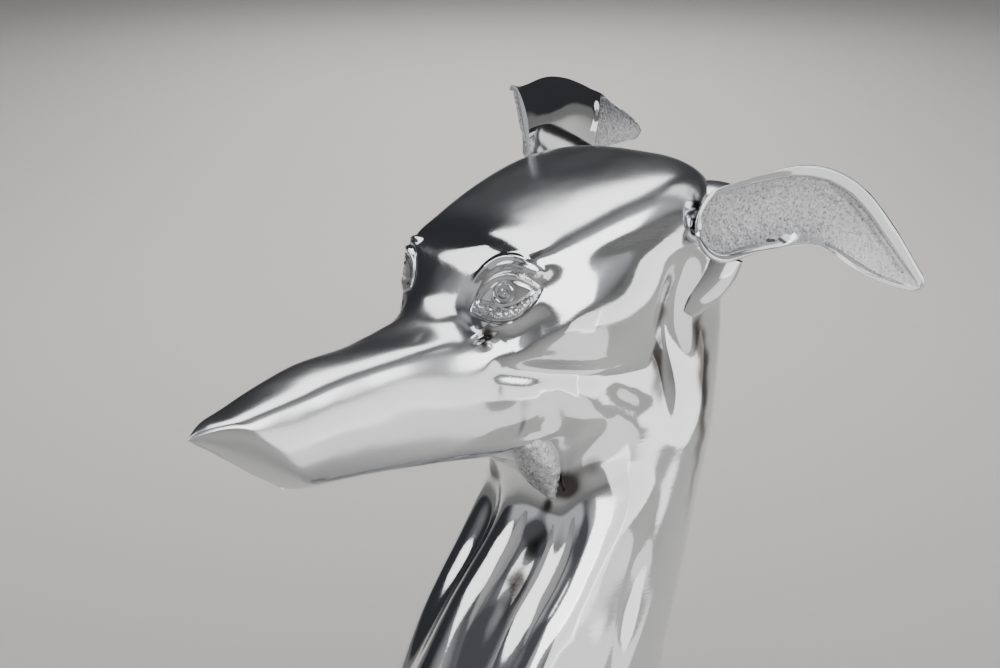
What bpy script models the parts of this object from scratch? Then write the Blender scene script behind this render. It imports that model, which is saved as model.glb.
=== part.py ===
"""Head and neck bust of a greyhound, cast in one piece in aluminium and cut flat below the neck.

Metres, +Z up. The dog looks along +X and its left side is +Y. The origin is the middle of the flat
underside that the bust stands on. The shapes are drawn in the millimetres of a head 200 mm long, and
HEAD_LENGTH gives that head its real size.
"""

import math
from dataclasses import dataclass

import bmesh
import bpy
import numpy as np

HEAD_LENGTH = 0.200
DRAWN_HEAD_LENGTH = 200.0
MM = HEAD_LENGTH / DRAWN_HEAD_LENGTH

# Rows of the mesh for each stretch between two cross-sections, close together round the eyes.
ROWS_BETWEEN_SECTIONS = (1, 2, 2, 2, 3, 4, 4, 4, 6, 6, 6, 5, 5, 5, 4, 4, 3, 2, 2, 2, 2)
BUST_COLUMNS = 40
MERGE_DISTANCE = 1e-5
CREASE_ANGLE = math.radians(50)


@dataclass(frozen=True)
class Section:
    """One cross-section: its ends on the middle plane as (x, z), and its half-widths on the way down."""

    top: tuple
    under: tuple
    crown: float
    temple: float
    cheek: float
    jaw: float
    floor: float


# How far up each half-width stands between the under end of its section and the top end.
SECTION_HEIGHTS = (0.99, 0.89, 0.50, 0.18, 0.015)

# The planes fan round the throat, from the front of the nose to the flat base of the neck.
SECTIONS = (
    Section((123.5, 138.0), (88.5, 116.0), 0.0, 0.0, 0.0, 0.0, 0.0),
    Section((121.5, 139.5), (87.0, 115.5), 2.0, 3.2, 3.4, 3.2, 2.0),
    Section((117.5, 142.0), (84.0, 115.0), 4.5, 7.0, 7.5, 7.0, 4.5),
    Section((113.0, 143.5), (81.0, 115.0), 6.5, 10.5, 11.0, 10.0, 6.0),
    Section((109.0, 144.5), (79.0, 115.0), 7.0, 10.5, 11.5, 10.2, 6.5),
    Section((92.0, 148.0), (72.0, 115.0), 8.0, 12.0, 13.2, 11.3, 8.0),
    Section((74.0, 152.0), (58.0, 115.0), 9.5, 14.0, 15.5, 13.0, 10.0),
    Section((52.0, 155.5), (41.0, 115.0), 11.0, 16.5, 18.5, 16.0, 12.0),
    Section((34.0, 158.0), (26.0, 115.0), 13.0, 19.0, 22.0, 19.0, 14.0),
    Section((25.5, 164.0), (14.0, 113.0), 17.0, 25.0, 27.0, 23.0, 16.0),
    Section((18.5, 182.0), (3.0, 110.0), 24.0, 31.5, 31.0, 25.0, 16.0),
    Section((0.0, 190.0), (-4.0, 107.0), 27.0, 35.5, 36.0, 27.0, 16.0),
    Section((-24.0, 199.5), (-7.0, 103.5), 29.0, 39.5, 37.0, 28.0, 16.0),
    Section((-50.0, 205.5), (-8.0, 100.0), 32.0, 43.5, 36.0, 28.0, 16.0),
    Section((-71.5, 203.5), (-8.0, 96.0), 25.0, 38.0, 34.0, 28.0, 16.0),
    Section((-88.0, 176.0), (-7.0, 91.0), 14.0, 26.0, 32.0, 28.0, 15.5),
    Section((-92.0, 140.0), (-4.0, 85.0), 11.0, 24.0, 32.0, 28.0, 15.5),
    Section((-86.5, 106.0), (1.5, 78.0), 11.0, 24.0, 32.5, 28.5, 15.5),
    Section((-76.5, 73.0), (10.0, 68.0), 12.0, 25.0, 34.0, 29.5, 16.0),
    Section((-64.5, 43.0), (21.5, 54.0), 14.0, 28.0, 36.0, 31.0, 17.0),
    Section((-55.5, 18.0), (35.5, 32.0), 16.0, 30.0, 38.0, 33.0, 18.0),
    Section((-50.0, 0.0), (50.0, 0.0), 18.0, 33.0, 40.0, 35.0, 19.0),
)


@dataclass(frozen=True)
class Carving:
    """A soft ridge, or a groove where the lift is negative, along a path on the left side."""

    path: tuple
    lifts: tuple
    reach: float


CARVINGS = {
    "brow": Carving(((27.0, 20.0, 172.0), (18.0, 26.0, 181.0), (4.0, 34.0, 182.0)), (0.0, 2.5, 0.0), 6.0),
    "eye_socket": Carving(((29.0, 17.0, 164.0), (20.5, 24.0, 170.0), (10.0, 33.0, 171.0)),
                          (-1.5, -2.5, -1.0), 8.0),
    "under_eye": Carving(((31.0, 19.5, 158.0), (22.0, 27.0, 156.0), (12.0, 32.0, 157.0)),
                         (-1.0, -2.5, -1.0), 7.0),
    "cheekbone": Carving(((20.0, 28.0, 161.0), (-6.0, 37.0, 160.0), (-32.0, 37.0, 162.0)),
                         (0.0, 3.0, 1.5), 11.0),
    "under_cheekbone": Carving(((22.0, 26.0, 146.0), (-4.0, 33.0, 142.5), (-34.0, 32.0, 138.0)),
                               (-1.0, -2.0, -1.0), 6.0),
    "jaw_muscle": Carving(((8.0, 27.0, 131.0), (-8.0, 28.0, 127.0), (-22.0, 30.0, 129.0)),
                          (1.0, 3.5, 1.5), 11.0),
    "jaw_edge": Carving(((76.0, 11.5, 116.5), (34.0, 19.0, 116.5), (9.0, 23.5, 118.0), (-4.0, 26.0, 123.0)),
                        (0.5, 1.2, 2.0, 0.0), 3.5),
    "behind_cheek": Carving(((-43.0, 39.0, 168.0), (-46.0, 34.0, 150.0), (-57.0, 30.0, 131.0),
                             (-50.0, 30.0, 112.0)), (-2.0, -4.5, -3.0, 0.0), 8.0),
    "ear_stem": Carving(((-56.0, 38.0, 184.0), (-60.0, 36.0, 168.0), (-60.0, 33.0, 156.0)),
                        (2.0, 5.0, 1.0), 10.0),
    "windpipe": Carving(((-3.0, 0.0, 94.0), (10.0, 0.0, 74.0), (28.0, 0.0, 50.0), (40.0, 0.0, 20.0)),
                        (1.0, 2.0, 2.0, 1.0), 11.0),
    "windpipe_groove": Carving(((-12.0, 13.0, 100.0), (-5.0, 16.0, 84.0), (7.0, 17.0, 69.0),
                                (22.0, 16.0, 48.0), (34.0, 18.0, 20.0)), (-2.0, -4.0, -4.0, -3.0, 0.0), 8.0),
    "neck_muscle": Carving(((-34.0, 30.0, 104.0), (-28.0, 30.0, 92.0), (-14.0, 29.0, 78.0),
                            (-1.0, 28.0, 64.0), (12.0, 27.0, 49.0), (24.0, 28.0, 24.0)),
                           (0.0, 2.0, 3.0, 3.0, 2.5, 0.0), 10.0),
}


@dataclass(frozen=True)
class Limb:
    """A closed form that tapers along a curve: an ear, an eyeball, a lid or a tuft.

    Each ring spans a half-width across and a half-depth along the way the form faces. Cupping sinks the
    middle of the ring behind its rims.
    """

    spine: tuple
    facing: tuple
    half_widths: tuple
    half_depths: tuple
    cupping: tuple
    rows: int
    columns: int


SMALL_MESH = {"rows": 10, "columns": 6}
ROOT_MESH = {"rows": 7, "columns": 9}
EAR_MESH = {"rows": 22, "columns": 16}


def plain_limb(spine, facing, half_widths, half_depths, mesh=SMALL_MESH):
    """A small limb that faces one way and is not cupped."""
    count = len(spine)
    return Limb(spine, (facing,) * count, half_widths, half_depths, (0.0,) * count, **mesh)


EYE_FACING = (0.78, 0.60, 0.15)
# The right eye is set a little further back, so that from the left it hardly breaks the outline.
RIGHT_EYE_SHIFT = (-2.4, -3.0, 1.3)
EYE_RIDGE = (0.3, 1.6, 1.8, 1.6, 0.3)

EYE_LIMBS = {
    "eyeball": plain_limb(
        ((25.0, 14.8, 164.6), (22.0, 20.2, 167.4), (17.5, 26.5, 170.3), (12.5, 30.8, 171.4)),
        EYE_FACING, (0.4, 6.5, 6.0, 0.4), (0.4, 3.2, 3.2, 0.4),
    ),
    "upper_lid": plain_limb(
        ((25.5, 14.0, 164.5), (22.6, 17.0, 171.5), (18.5, 22.5, 174.8), (15.0, 28.5, 174.5),
         (11.5, 31.6, 171.0)),
        EYE_FACING, EYE_RIDGE, EYE_RIDGE,
    ),
    "lower_lid": plain_limb(
        ((25.5, 14.5, 164.3), (24.6, 20.0, 162.5), (21.5, 25.2, 163.0), (17.0, 29.3, 166.3),
         (11.5, 32.0, 170.5)),
        EYE_FACING, EYE_RIDGE, EYE_RIDGE,
    ),
    "brow_fold": plain_limb(
        ((22.5, 11.0, 170.5), (19.5, 14.5, 177.5), (15.5, 21.0, 181.0), (13.0, 27.5, 178.5),
         (10.0, 32.5, 173.5)),
        EYE_FACING, EYE_RIDGE, EYE_RIDGE,
    ),
}

# The rough tuft under the corner of the jaw is on the left side only.
THROAT_TUFT = plain_limb(
    ((7.0, 19.0, 121.0), (1.5, 18.5, 113.0), (-4.0, 17.0, 105.0), (-8.5, 16.0, 96.0)),
    (0.6, 0.8, 0.0), (5.0, 7.5, 5.5, 0.5), (4.0, 5.5, 4.0, 0.5),
)

# Each ear stands on a broad root. The left one also has a bridge to the skull and a stem below it.
EAR_ROOTS = {
    "left_ear_root": plain_limb(
        ((-62.0, 22.0, 167.0), (-62.0, 29.0, 175.0), (-63.5, 35.0, 180.5), (-66.0, 39.5, 184.5)),
        (0.0, -0.85, 0.5), (14.0, 14.0, 13.0, 8.0), (10.0, 9.0, 6.0, 1.0), ROOT_MESH,
    ),
    "left_ear_stem": plain_limb(
        ((-58.0, 28.0, 155.0), (-59.5, 34.0, 161.5), (-61.0, 38.5, 167.5), (-62.0, 41.0, 173.0)),
        (0.5, 0.85, 0.1), (4.0, 6.0, 7.0, 6.0), (4.0, 4.0, 3.5, 2.0), ROOT_MESH,
    ),
    "left_ear_bridge": plain_limb(
        ((-66.0, 22.0, 188.0), (-66.0, 30.0, 190.0), (-66.0, 36.0, 191.0), (-67.0, 41.5, 192.0)),
        (0.0, 0.1, 1.0), (12.0, 11.0, 9.0, 6.0), (7.0, 6.0, 4.0, 1.0), ROOT_MESH,
    ),
    "right_ear_root": plain_limb(
        ((-62.0, -20.0, 184.0), (-62.0, -29.0, 192.5), (-64.0, -38.0, 199.0), (-68.0, -47.5, 205.0)),
        (0.0, 0.85, 0.5), (13.0, 15.0, 13.0, 8.0), (11.0, 9.5, 6.5, 1.0), ROOT_MESH,
    ),
    "right_ear_foot": plain_limb(
        ((-54.0, -38.0, 193.0), (-52.8, -40.0, 199.0), (-51.0, -41.5, 204.5)),
        (0.6, -0.8, 0.0), (4.0, 3.6, 1.5), (4.5, 3.6, 1.5),
    ),
}

EAR_CUPPING = (0.8, 4.0, 6.5, 7.0, 6.5, 5.0, 3.5, 1.5, 0.3)

# The left ear starts with a round end. The right one stands higher and is cut straight in front.
EARS = {
    "left_ear": Limb(
        ((-45.4, 42.8, 183.9), (-52.0, 44.6, 184.5), (-62.0, 47.0, 186.3), (-75.0, 50.2, 188.0),
         (-88.0, 53.4, 188.6), (-99.5, 56.4, 184.2), (-109.5, 59.0, 174.6), (-121.0, 61.8, 164.6),
         (-133.5, 64.6, 156.2)),
        ((0.55, 0.80, 0.0),) * 5 + ((0.60, 0.76, 0.0),) * 4,
        (4.0, 11.0, 11.8, 12.8, 13.8, 12.4, 10.4, 7.4, 2.0),
        (1.4, 1.5, 1.8, 2.3, 2.7, 2.5, 2.1, 1.9, 1.0), EAR_CUPPING, **EAR_MESH,
    ),
    "right_ear": Limb(
        ((-48.0, -42.0, 209.7), (-54.0, -47.0, 208.0), (-61.0, -52.0, 207.1), (-70.0, -56.5, 207.2),
         (-80.0, -60.5, 207.6), (-92.0, -63.0, 205.6), (-103.0, -63.5, 202.6), (-114.5, -62.5, 199.6),
         (-127.0, -60.5, 196.0)),
        ((0.50, -0.83, -0.25), (0.52, -0.82, -0.15)) + ((0.55, -0.80, 0.0),) * 7,
        (12.5, 12.0, 12.5, 13.0, 13.2, 12.6, 11.0, 8.2, 2.2),
        (2.3, 2.1, 2.1, 2.3, 2.5, 2.4, 2.1, 1.9, 1.0), EAR_CUPPING, **EAR_MESH,
    ),
}


def spline_weights(count, places, closed):
    """Weights of a uniform cubic B-spline: one row for each place, one column for each control point."""
    places = np.asarray(places, float)
    span = np.floor(places).astype(int)
    if not closed:
        span = np.minimum(span, count - 2)
    share = places - span
    basis = (
        (1 - share) ** 3 / 6,
        (3 * share**3 - 6 * share**2 + 4) / 6,
        (-3 * share**3 + 3 * share**2 + 3 * share + 1) / 6,
        share**3 / 6,
    )
    rows = np.arange(len(places))
    weights = np.zeros((len(places), count))
    for offset, amount in zip((-1, 0, 1, 2), basis):
        column = span + offset
        if closed:
            np.add.at(weights, (rows, column % count), amount)
            continue
        # Past each end the row of points runs on straight, which makes the spline start and end on it.
        inside = np.clip(column, 0, count - 1)
        beyond = np.abs(column - inside)
        inner = np.where(column < 0, 1, count - 2)
        np.add.at(weights, (rows, inside), amount * (1 + beyond))
        np.add.at(weights, (rows, inner), -amount * beyond)
    return weights


def section_cage(section):
    """The control points of one cross-section, from its top round the left side and back."""
    top = np.array((section.top[0], 0.0, section.top[1]))
    under = np.array((section.under[0], 0.0, section.under[1]))
    widths = (section.crown, section.temple, section.cheek, section.jaw, section.floor)
    left = [
        under + (top - under) * height + np.array((0.0, width, 0.0))
        for height, width in zip(SECTION_HEIGHTS, widths)
    ]
    right = [point * (1.0, -1.0, 1.0) for point in reversed(left)]
    return np.array([top, *left, under, *right])


def row_places():
    """Where the rows of the mesh stand along the sections."""
    places = [
        section + step / steps
        for section, steps in enumerate(ROWS_BETWEEN_SECTIONS)
        for step in range(steps)
    ]
    return [*places, len(ROWS_BETWEEN_SECTIONS)]


def loft(cages, rows, columns):
    """The smooth surface over a row of control rings, as an array of rows by columns by 3."""
    cage = np.array(cages)
    ring = cage.shape[1]
    along = spline_weights(len(cage), rows, closed=False)
    around = spline_weights(ring, np.arange(columns) * ring / columns, closed=True)
    return np.einsum("ri,ijk,cj->rck", along, cage, around)


def unit(vectors):
    """The same directions, one long."""
    return vectors / np.maximum(np.linalg.norm(vectors, axis=-1, keepdims=True), 1e-9)


def normals_of(points):
    """Outward normals of a grid that is closed along its columns."""
    along = np.gradient(points, axis=0)
    around = np.roll(points, -1, axis=1) - np.roll(points, 1, axis=1)
    return unit(np.cross(around, along))


def lift_of(carving, points):
    """How far a carving lifts each point: its lift at the nearest place on its path, fading with distance."""
    path = np.array(carving.path)
    lift = np.zeros(points.shape[:-1])
    nearest = np.full(points.shape[:-1], np.inf)
    for start, end, low, high in zip(path, path[1:], carving.lifts, carving.lifts[1:]):
        edge = end - start
        share = np.clip((points - start) @ edge / (edge @ edge), 0.0, 1.0)
        distance = np.linalg.norm(points - start - share[..., None] * edge, axis=-1)
        here = low + (high - low) * share
        lift = np.where(distance < nearest, here, lift)
        nearest = np.minimum(distance, nearest)
    return lift * np.exp(-((nearest / carving.reach) ** 2))


def carve(points):
    """Moves each point along its normal by all the carvings, the same on both sides of the head."""
    folded = np.stack((points[..., 0], np.abs(points[..., 1]), points[..., 2]), axis=-1)
    lift = sum(lift_of(carving, folded) for carving in CARVINGS.values())
    # The flat underside stays flat: nothing is carved on the last row, and less just above it.
    lift *= np.clip(points[..., 2] / 20.0, 0.0, 1.0)
    return points + normals_of(points) * lift[..., None]


def bust_points():
    """The head and neck as a grid of points."""
    return carve(loft([section_cage(section) for section in SECTIONS], row_places(), BUST_COLUMNS))


def limb_points(limb):
    """A limb as a grid of points, each row a ring round its spine."""
    count = len(limb.spine)
    along = spline_weights(count, np.linspace(0, count - 1, limb.rows), closed=False)
    spine = along @ np.array(limb.spine)
    heading = unit(np.gradient(spine, axis=0))
    across = unit(np.cross(heading, along @ np.array(limb.facing)))
    facing = np.cross(across, heading)
    turn = np.arange(limb.columns) * math.tau / limb.columns
    sideways = np.outer(along @ np.array(limb.half_widths), np.cos(turn))
    depth = np.outer(along @ np.array(limb.half_depths), np.sin(turn))
    depth -= np.outer(along @ np.array(limb.cupping), np.sin(turn) ** 2)
    return spine[:, None] + across[:, None] * sideways[..., None] + facing[:, None] * depth[..., None]


def grid_object(name, points, collection):
    """An object whose closed mesh runs over a grid: columns go round it, and both end rows are filled."""
    rows, columns = points.shape[:2]
    mesh = bpy.data.meshes.new(name)
    build = bmesh.new()
    vertices = [[build.verts.new(point * MM) for point in row] for row in points]
    for row in range(rows - 1):
        for column in range(columns):
            following = (column + 1) % columns
            build.faces.new(
                (
                    vertices[row][column],
                    vertices[row][following],
                    vertices[row + 1][following],
                    vertices[row + 1][column],
                )
            )
    build.faces.new(vertices[0])
    build.faces.new(reversed(vertices[-1]))
    bmesh.ops.remove_doubles(build, verts=build.verts, dist=MERGE_DISTANCE)
    bmesh.ops.recalc_face_normals(build, faces=build.faces)
    build.to_mesh(mesh)
    build.free()
    obj = bpy.data.objects.new(name, mesh)
    collection.objects.link(obj)
    return obj


def add_collection(name):
    collection = bpy.data.collections.new(name)
    bpy.context.scene.collection.children.link(collection)
    return collection


def polished_aluminium():
    material = bpy.data.materials.new("polished_aluminium")
    material.use_nodes = True
    shader = material.node_tree.nodes["Principled BSDF"]
    shader.inputs["Base Color"].default_value = (0.80, 0.80, 0.81, 1.0)
    shader.inputs["Metallic"].default_value = 1.0
    shader.inputs["Roughness"].default_value = 0.12
    return material


def shade_smooth(obj):
    obj.data.shade_smooth()
    obj.data.set_sharp_from_angle(angle=CREASE_ANGLE)


def main():
    for obj in list(bpy.data.objects):
        bpy.data.objects.remove(obj)
    parts = add_collection("greyhound_bust_parts")
    joined = add_collection("joined_forms")
    joined.hide_render = True

    bust = grid_object("greyhound_bust", bust_points(), parts)
    bust.data.materials.append(polished_aluminium())
    forms = {name: limb_points(limb) for name, limb in (EARS | EAR_ROOTS).items()}
    forms["throat_tuft"] = limb_points(THROAT_TUFT)
    for name, limb in EYE_LIMBS.items():
        forms["left_" + name] = limb_points(limb)
        forms["right_" + name] = limb_points(limb) * (1.0, -1.0, 1.0) + RIGHT_EYE_SHIFT
    for name, points in forms.items():
        form = grid_object(name, points, joined)
        form.hide_render = True
        form.display_type = "WIRE"
        union = bust.modifiers.new(name, "BOOLEAN")
        union.operation = "UNION"
        union.solver = "EXACT"
        union.object = form
    shade_smooth(bust)


main()
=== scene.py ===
"""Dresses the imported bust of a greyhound: one aluminium casting, hand polished but for its ear hollows.

The bust stands on its flat underside at z = 0, looks along +X and has its left side at +Y. Shapes are
drawn in the millimetres of a head 200 mm long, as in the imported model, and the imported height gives
the scale. Each surface is a function of two parameters worked out on a grid.
"""

from __future__ import annotations

import logging
import math
from dataclasses import dataclass, field
from enum import Enum

import bpy
import numpy as np
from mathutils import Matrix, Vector

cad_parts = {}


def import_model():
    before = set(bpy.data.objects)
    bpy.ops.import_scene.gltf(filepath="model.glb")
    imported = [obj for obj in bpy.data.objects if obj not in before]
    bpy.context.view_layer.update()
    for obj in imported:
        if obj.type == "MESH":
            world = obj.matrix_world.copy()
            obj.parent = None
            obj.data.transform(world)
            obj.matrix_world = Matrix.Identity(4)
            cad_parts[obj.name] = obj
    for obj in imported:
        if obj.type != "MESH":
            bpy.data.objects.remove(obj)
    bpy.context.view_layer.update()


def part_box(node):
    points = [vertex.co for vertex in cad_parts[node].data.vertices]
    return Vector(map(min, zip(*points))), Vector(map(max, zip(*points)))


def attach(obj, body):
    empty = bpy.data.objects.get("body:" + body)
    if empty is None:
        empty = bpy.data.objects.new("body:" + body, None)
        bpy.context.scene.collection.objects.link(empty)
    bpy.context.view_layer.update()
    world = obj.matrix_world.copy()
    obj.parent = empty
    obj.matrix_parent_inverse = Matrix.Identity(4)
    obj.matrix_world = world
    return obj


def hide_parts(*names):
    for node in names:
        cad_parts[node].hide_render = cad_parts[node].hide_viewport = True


LOG = logging.getLogger("greyhound_bust")
NODE = "greyhound_bust"
AS_CAST = "as_cast"
SATIN = "satin"
# Attribute for shade and dark reflections painted into the metal's colour.
PAINTED_SHADE = "painted_shade"
DRAWN_HEIGHT = 221.6278
METRE = 1000.0

Array = np.ndarray
Point = tuple[float, float, float]
Pair = tuple[float, float]


class Side(Enum):
    """A side of the head, as the sign of y there."""

    LEFT = 1.0
    RIGHT = -1.0


def linear_colour(hex_code: str) -> tuple[float, float, float, float]:
    """Turns an sRGB hex colour into the linear colour that a shader socket takes.

    Args:
        hex_code: Six hex digits after a hash sign.

    Returns:
        Red, green, blue and an alpha of one.
    """
    shares = (int(hex_code[i : i + 2], 16) / 255 for i in (1, 3, 5))
    red, green, blue = (s / 12.92 if s <= 0.04045 else ((s + 0.055) / 1.055) ** 2.4 for s in shares)
    return red, green, blue, 1.0


def unit(vectors: Array) -> Array:
    """Returns the same directions with a length of one."""
    return vectors / np.maximum(np.linalg.norm(vectors, axis=-1, keepdims=True), 1e-9)


def ramp(low: float, high: float, values: Array) -> Array:
    """Rises from 0 at low to 1 at high along the cubic 3t^2 - 2t^3."""
    share = np.clip((values - low) / (high - low), 0.0, 1.0)
    return share * share * (3 - 2 * share)


def bell(values: Array, width: float) -> Array:
    """The Gaussian exp(-(v / width)^2), one at zero."""
    return np.exp(-((values / width) ** 2))


def waves(points: Array, wavelength: float, seed: int, count: int = 28) -> Array:
    """A smooth random field: a sum of plane cosine waves of one wavelength in random directions.

    Args:
        points: Places in drawn millimetres, in the last axis.
        wavelength: Distance between crests, in the same unit.
        seed: Picks the directions and phases.
        count: How many waves are summed.

    Returns:
        One value for each place, with a spread of about one.
    """
    random = np.random.default_rng(seed)
    directions = unit(random.normal(size=(count, 3))) * (2 * math.pi / wavelength)
    phases = random.uniform(0, 2 * math.pi, count)
    total = sum(np.cos(points @ way + phase) for way, phase in zip(directions, phases))
    return total * math.sqrt(2 / count)


@dataclass(frozen=True)
class Ripple:
    """Random waves of one height and wavelength, in drawn millimetres.

    Attributes:
        height: Usual height of the waves.
        wavelength: Distance between crests.
        seed: Picks their directions and phases.
    """

    height: float
    wavelength: float
    seed: int

    def at(self, points: Array) -> Array:
        """The height of the waves at each place."""
        return self.height * waves(points, self.wavelength, self.seed)


def fold(points: Array) -> Array:
    """Turns both sides of the head to the left, by |y|."""
    return np.stack((points[..., 0], np.abs(points[..., 1]), points[..., 2]), axis=-1)


def spline_weights(count: int, places: Array, closed: bool) -> Array:
    """Weights of a uniform cubic B-spline over a row of control points.

    Args:
        count: Number of control points.
        places: Places along the row, one unit from each control point to the next.
        closed: True where the row is a ring. An open row starts and ends on its end points,
            because the points are taken to run on straight past each end.

    Returns:
        One row for each place and one column for each control point.
    """
    places = np.asarray(places, float)
    span = np.floor(places).astype(int)
    if not closed:
        span = np.minimum(span, count - 2)
    share = places - span
    basis = (
        (1 - share) ** 3 / 6,
        (3 * share**3 - 6 * share**2 + 4) / 6,
        (-3 * share**3 + 3 * share**2 + 3 * share + 1) / 6,
        share**3 / 6,
    )
    rows = np.arange(len(places))
    weights = np.zeros((len(places), count))
    for offset, amount in zip((-1, 0, 1, 2), basis):
        column = span + offset
        if closed:
            np.add.at(weights, (rows, column % count), amount)
            continue
        inside = np.clip(column, 0, count - 1)
        beyond = np.abs(column - inside)
        inner = np.where(column < 0, 1, count - 2)
        np.add.at(weights, (rows, inside), amount * (1 + beyond))
        np.add.at(weights, (rows, inner), -amount * beyond)
    return weights


def uneven_places(length: float, count: int, crowds: tuple[tuple[float, float, float], ...]) -> Array:
    """Spreads places over a length so that they stand closer together in the crowded stretches.

    Args:
        length: End of the range, which starts at zero.
        count: Number of places.
        crowds: Middle, half-width and extra density of each crowded stretch.

    Returns:
        The places in rising order, both ends included.
    """
    fine = np.linspace(0, length, 4001)
    density = 1 + sum(extra * np.exp(-(((fine - middle) / half) ** 4)) for middle, half, extra in crowds)
    total = np.concatenate(([0.0], np.cumsum((density[1:] + density[:-1]) / 2)))
    return np.interp(np.linspace(0, total[-1], count), total, fine)


def nearest_on_path(points: Array, path: Array) -> tuple[Array, Array]:
    """Finds how far points are from a path of short straight pieces.

    Args:
        points: Places, in the last axis.
        path: The path's points, of the same dimension.

    Returns:
        The distance to the path, and how far along it the nearest place is, from 0 to 1.
    """
    nearest = np.full(points.shape[:-1], np.inf)
    along = np.zeros(points.shape[:-1])
    for step, (start, end) in enumerate(zip(path, path[1:])):
        edge = end - start
        share = np.clip((points - start) @ edge / (edge @ edge), 0.0, 1.0)
        distance = np.linalg.norm(points - start - share[..., None] * edge, axis=-1)
        closer = distance < nearest
        along = np.where(closer, (step + share) / (len(path) - 1), along)
        nearest = np.where(closer, distance, nearest)
    return nearest, along


@dataclass(frozen=True)
class Stroke:
    """A soft ridge, or a groove where the lift is negative, drawn along a smooth path.

    Attributes:
        path: Control points of the path, in space or on a flat sheet.
        lifts: Height at each control point, in millimetres.
        reach: Distance at which the height has fallen to 1/e.
        steps: Straight pieces of the path for each control point.
    """

    path: tuple[tuple[float, ...], ...]
    lifts: tuple[float, ...]
    reach: float
    steps: int = 13

    def lift(self, points: Array) -> Array:
        """The height at the nearest place on the path, times a Gaussian of the distance to it.

        Args:
            points: Places, in the last axis, of the path's dimension.

        Returns:
            One height for each place.
        """
        count = len(self.path)
        weights = spline_weights(count, np.linspace(0, count - 1, self.steps * count), closed=False)
        distance, along = nearest_on_path(points, weights @ np.array(self.path))
        heights = np.interp(along, np.linspace(0, 1, len(weights)), weights @ np.array(self.lifts))
        return heights * bell(distance, self.reach)


@dataclass(frozen=True)
class Almond:
    """The outline of an opening between two corners, on the flat sheet of an eye.

    Attributes:
        centre: The middle of the line between the corners, as (a, b).
        tilt: How much b changes with a along that line.
        half_length: Half the distance between the corners.
        rise: How far the upper arc stands over the line.
        fall: How far the lower arc hangs under it.
        powers: How full the upper and the lower arc are.
    """

    centre: Pair
    tilt: float
    half_length: float
    rise: float
    fall: float
    powers: Pair = (2.2, 1.9)

    def share(self, a: Array) -> Array:
        """How far a is from the middle, as a share of the half-length and 1.4 at most."""
        return np.clip(np.abs(a - self.centre[0]) / self.half_length, 0, 1.4)

    def depth(self, a: Array, b: Array) -> Array:
        """How far inside the outline each place is, measured along b, and negative outside.

        The arcs stand rise (1 - s^p) over and fall (1 - s^q) under the line between the corners.

        Args:
            a: Place along the sheet, towards the back corner.
            b: Place up the sheet.

        Returns:
            One depth for each place.
        """
        share = self.share(a)
        line = self.centre[1] + self.tilt * (a - self.centre[0])
        upper = line + self.rise * (1 - share ** self.powers[0])
        lower = line - self.fall * (1 - share ** self.powers[1])
        return np.minimum(upper - b, b - lower)


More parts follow.
